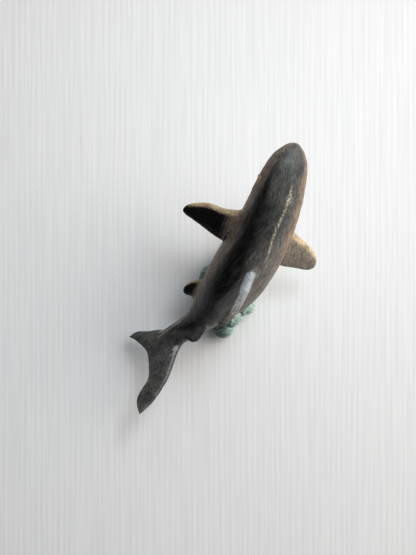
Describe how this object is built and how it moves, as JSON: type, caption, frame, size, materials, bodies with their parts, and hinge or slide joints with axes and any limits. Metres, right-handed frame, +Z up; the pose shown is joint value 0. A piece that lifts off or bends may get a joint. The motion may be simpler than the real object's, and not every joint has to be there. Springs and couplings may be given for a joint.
{
  "type": "animal figurine",
  "caption": "Shark figurine swimming head up, its back leaning to one side, standing on a small sea-green coral base",
  "frame": {"origin": "centre of the underside of the felt pad", "axes": "+Z up; +X from the tail towards the head in plan; +Y towards the shark's left"},
  "size_m": [0.1194, 0.0558, 0.0655],
  "materials": {
    "body_paint": "hand-painted charcoal over cast resin, tan on the flanks and edges, semi-gloss",
    "first_dorsal_paint": "hand-painted charcoal over cast resin, tan on the flanks and edges, semi-gloss",
    "second_dorsal_paint": "hand-painted charcoal over cast resin, tan on the flanks and edges, semi-gloss",
    "anal_paint": "hand-painted charcoal over cast resin, tan on the flanks and edges, semi-gloss",
    "left_pectoral_paint": "hand-painted charcoal over cast resin, tan on the flanks and edges, semi-gloss",
    "right_pectoral_paint": "hand-painted charcoal over cast resin, tan on the flanks and edges, semi-gloss",
    "left_pelvic_paint": "hand-painted charcoal over cast resin, tan on the flanks and edges, semi-gloss",
    "right_pelvic_paint": "hand-painted charcoal over cast resin, tan on the flanks and edges, semi-gloss",
    "caudal_paint": "hand-painted charcoal over cast resin, tan on the flanks and edges, semi-gloss",
    "left_eye_glass": "amber, polished",
    "right_eye_glass": "amber, polished",
    "first_dorsal_front_pin_steel": "plain drawn wire",
    "first_dorsal_rear_pin_steel": "plain drawn wire",
    "second_dorsal_pin_steel": "plain drawn wire",
    "anal_pin_steel": "plain drawn wire",
    "left_pectoral_pin_steel": "plain drawn wire",
    "right_pectoral_pin_steel": "plain drawn wire",
    "left_pelvic_pin_steel": "plain drawn wire",
    "right_pelvic_pin_steel": "plain drawn wire",
    "caudal_pin_steel": "plain drawn wire",
    "coral_paint": "sea-green wash over cast mineral-filled resin, matt with chalky high spots",
    "felt": "dark felt",
    "support_rod_steel": "plain drawn wire"
  },
  "bodies": {
    "root": {"body": "body_paint", "first_dorsal_fin": "first_dorsal_paint", "second_dorsal_fin": "second_dorsal_paint", "anal_fin": "anal_paint", "left_pectoral_fin": "left_pectoral_paint", "right_pectoral_fin": "right_pectoral_paint", "left_pelvic_fin": "left_pelvic_paint", "right_pelvic_fin": "right_pelvic_paint", "caudal_fin": "caudal_paint", "left_eye": "left_eye_glass", "right_eye": "right_eye_glass", "first_dorsal_front_pin": "first_dorsal_front_pin_steel", "first_dorsal_rear_pin": "first_dorsal_rear_pin_steel", "second_dorsal_pin": "second_dorsal_pin_steel", "anal_pin": "anal_pin_steel", "left_pectoral_pin": "left_pectoral_pin_steel", "right_pectoral_pin": "right_pectoral_pin_steel", "left_pelvic_pin": "left_pelvic_pin_steel", "right_pelvic_pin": "right_pelvic_pin_steel", "caudal_pin": "caudal_pin_steel", "coral_base": "coral_paint", "felt_pad": "felt", "support_rod": "support_rod_steel"}
  },
  "joints": []
}
